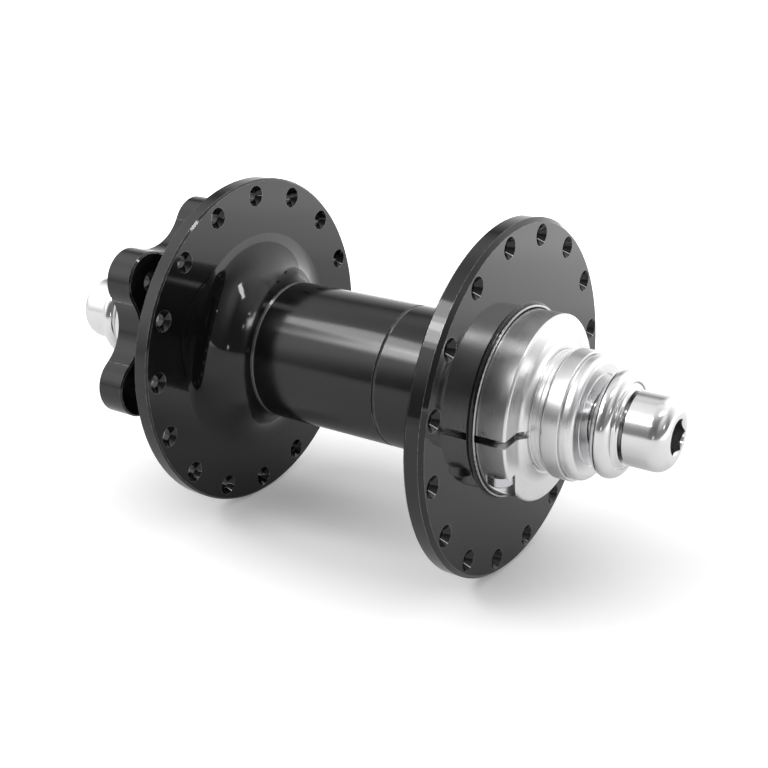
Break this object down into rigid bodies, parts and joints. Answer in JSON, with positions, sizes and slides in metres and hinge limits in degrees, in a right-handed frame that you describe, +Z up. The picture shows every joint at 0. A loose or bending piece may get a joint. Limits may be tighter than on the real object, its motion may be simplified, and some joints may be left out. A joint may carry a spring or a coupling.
{
  "type": "disc brake front wheel hub",
  "caption": "Bicycle front hub with thin spoke flanges, a six-lobed disc rotor mount, a split preload collar and bolt-on axle ends.",
  "frame": {"origin": "on the axle, midway between the two faces that the fork ends rest on", "axes": "+Y along the axle towards the disc rotor, the rider's left; +Z up; +X forward"},
  "size_m": [0.069, 0.14, 0.069],
  "materials": {
    "black_anodised": "gloss black anodised",
    "turned_aluminium": "fine turned and polished",
    "plain_aluminium": "as machined",
    "plated_steel": "polished plating",
    "bearing_steel": "ground",
    "screw_steel": "satin",
    "seal_rubber": "matt",
    "cage_plastic": "matt"
  },
  "bodies": {
    "axle_assembly": {"axle": "plain_aluminium", "left_inner_race": "bearing_steel", "right_inner_race": "bearing_steel", "left_end_sleeve": "turned_aluminium", "right_end_sleeve": "turned_aluminium", "left_dust_cap": "turned_aluminium"},
    "hub": {"left_shell": "black_anodised", "barrel_sleeve": "black_anodised", "right_shell": "black_anodised", "left_outer_race": "bearing_steel", "right_outer_race": "bearing_steel", "left_outboard_seal": "seal_rubber", "left_inboard_seal": "seal_rubber", "right_outboard_seal": "seal_rubber", "right_inboard_seal": "seal_rubber"},
    "left_ball_set": {"left_balls": "bearing_steel", "left_ball_cage": "cage_plastic"},
    "right_ball_set": {"right_balls": "bearing_steel", "right_ball_cage": "cage_plastic"},
    "thrust_ring": {"thrust_ring": "plain_aluminium"},
    "collar": {"preload_collar": "turned_aluminium"},
    "pinch_screw": {"pinch_screw": "screw_steel"},
    "left_washer": {"left_washer": "plated_steel"},
    "left_bolt": {"left_axle_bolt": "plated_steel"},
    "right_washer": {"right_washer": "plated_steel"},
    "right_bolt": {"right_axle_bolt": "plated_steel"}
  },
  "joints": [
    {"name": "hub_spin", "type": "hinge", "parent": "axle_assembly", "child": "hub", "pos_m": [0, 0, 0], "axis": [0, 1, 0], "continuous": true},
    {"name": "left_ball_orbit", "type": "hinge", "parent": "axle_assembly", "child": "left_ball_set", "pos_m": [0, 0.0431, 0], "axis": [0, 1, 0], "continuous": true},
    {"name": "right_ball_orbit", "type": "hinge", "parent": "axle_assembly", "child": "right_ball_set", "pos_m": [0, -0.0344, 0], "axis": [0, 1, 0], "continuous": true},
    {"name": "thrust_slide", "type": "slide", "parent": "axle_assembly", "child": "thrust_ring", "axis": [0, -1, 0], "range_m": [0, 0.0016]},
    {"name": "collar_turn", "type": "hinge", "parent": "thrust_ring", "child": "collar", "pos_m": [0, -0.042, 0], "axis": [0, -1, 0], "range_deg": [0, 576.1]},
    {"name": "pinch_turn", "type": "hinge", "parent": "collar", "child": "pinch_screw", "pos_m": [-0.01456, -0.0427, -0.00102], "axis": [0.0698, 0, -0.9976], "range_deg": [0, 270]},
    {"name": "left_washer_slide", "type": "slide", "parent": "axle_assembly", "child": "left_washer", "axis": [0, 1, 0], "range_m": [-0.00159, 0.009]},
    {"name": "left_bolt_turn", "type": "hinge", "parent": "left_washer", "child": "left_bolt", "pos_m": [0, 0.06, 0], "axis": [0, 1, 0], "range_deg": [-540, 3060]},
    {"name": "right_washer_slide", "type": "slide", "parent": "axle_assembly", "child": "right_washer", "axis": [0, -1, 0], "range_m": [-0.00159, 0.009]},
    {"name": "right_bolt_turn", "type": "hinge", "parent": "right_washer", "child": "right_bolt", "pos_m": [0, -0.06, 0], "axis": [0, -1, 0], "range_deg": [-540, 3060]}
  ],
  "couplings": [
    {"joint": "left_ball_orbit", "follows": "hub_spin", "ratio": 0.5646},
    {"joint": "right_ball_orbit", "follows": "hub_spin", "ratio": 0.5646},
    {"joint": "collar_turn", "follows": "thrust_slide", "rad_per_m": 6283.2},
    {"joint": "left_bolt_turn", "follows": "left_washer_slide", "rad_per_m": 5936.9},
    {"joint": "right_bolt_turn", "follows": "right_washer_slide", "rad_per_m": 5936.9}
  ]
}
